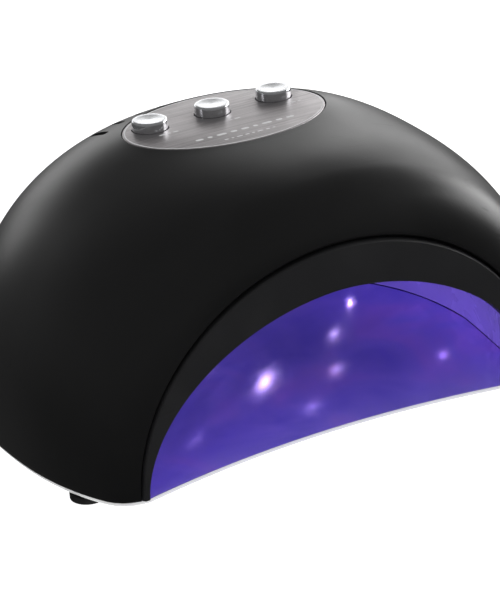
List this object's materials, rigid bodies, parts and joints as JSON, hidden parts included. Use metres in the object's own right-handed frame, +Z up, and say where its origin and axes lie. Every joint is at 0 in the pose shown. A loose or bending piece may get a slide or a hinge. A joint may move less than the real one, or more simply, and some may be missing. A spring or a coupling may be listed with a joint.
{
  "type": "uv curing lamp",
  "caption": "Dome-shaped table-top LED lamp for curing nail gel, with an arched hand opening, push buttons on top and a lift-away reflecting base.",
  "frame": {"origin": "middle of the lamp's footprint, on the surface that the feet stand on", "axes": "+X to the right seen from the front, along the width; the hand opening faces -Y; +Z up"},
  "size_m": [0.23, 0.18, 0.1168],
  "materials": {
    "shell_plastic": "satin gloss black moulding",
    "bezel_plastic": "satin black moulding",
    "reflector": "bright reflecting lining",
    "floor": "glossy reflecting floor",
    "inner_plastic": "fine texture",
    "brushed_panel": "brushed along its length",
    "button_chrome": "polished",
    "rubber": "matt",
    "board": "solder-masked circuit board",
    "led_lens": "domed emitter lens",
    "steel": "plated"
  },
  "bodies": {
    "base": {"keeper_rear_left": "steel", "keeper_rear_right": "steel", "keeper_front_left": "steel", "keeper_front_right": "steel", "base_plate": "floor", "foot_front_left": "rubber", "foot_front_right": "rubber", "foot_rear_left": "rubber", "foot_rear_right": "rubber"},
    "housing": {"outer_shell": "shell_plastic", "front_bezel": "bezel_plastic", "inner_liner": "reflector", "base_frame": "inner_plastic", "frame_screw_rear_left": "steel", "frame_screw_rear_right": "steel", "frame_screw_middle_left": "steel", "frame_screw_middle_right": "steel", "frame_screw_front_left": "steel", "frame_screw_front_right": "steel", "magnet_rear_left": "steel", "magnet_rear_right": "steel", "magnet_front_left": "steel", "magnet_front_right": "steel", "control_panel": "brushed_panel", "control_board": "board", "switch_left": "inner_plastic", "switch_middle": "inner_plastic", "switch_right": "inner_plastic", "board_screw_front_left": "steel", "board_screw_rear_left": "steel", "board_screw_front_right": "steel", "board_screw_rear_right": "steel", "dc_inlet": "inner_plastic", "dc_inlet_pin": "steel", "led_strip_low_left": "board", "led_low_left": "led_lens", "led_strip_low_right": "board", "led_low_right": "led_lens", "led_strip_middle": "board", "led_middle_1": "led_lens", "led_middle_2": "led_lens", "led_middle_3": "led_lens", "led_middle_4": "led_lens", "led_middle_5": "led_lens", "led_middle_6": "led_lens", "led_strip_upper": "board", "led_upper_1": "led_lens", "led_upper_2": "led_lens", "led_upper_3": "led_lens", "led_upper_4": "led_lens", "led_strip_top": "board", "led_top_1": "led_lens", "led_top_2": "led_lens", "led_top_3": "led_lens"},
    "button_left": {"button_left": "button_chrome"},
    "button_middle": {"button_middle": "button_chrome"},
    "button_right": {"button_right": "button_chrome"}
  },
  "joints": [
    {"name": "housing_lift", "type": "slide", "parent": "base", "child": "housing", "axis": [0, 0, 1], "range_m": [0, 0.06]},
    {"name": "button_left_press", "type": "slide", "parent": "housing", "child": "button_left", "axis": [0, -0.0436, -0.999], "range_m": [0, 0.0015], "stiffness_N_per_m": 400, "springref_m": -0.001},
    {"name": "button_middle_press", "type": "slide", "parent": "housing", "child": "button_middle", "axis": [0, -0.0436, -0.999], "range_m": [0, 0.0015], "stiffness_N_per_m": 400, "springref_m": -0.001},
    {"name": "button_right_press", "type": "slide", "parent": "housing", "child": "button_right", "axis": [0, -0.0436, -0.999], "range_m": [0, 0.0015], "stiffness_N_per_m": 400, "springref_m": -0.001}
  ]
}
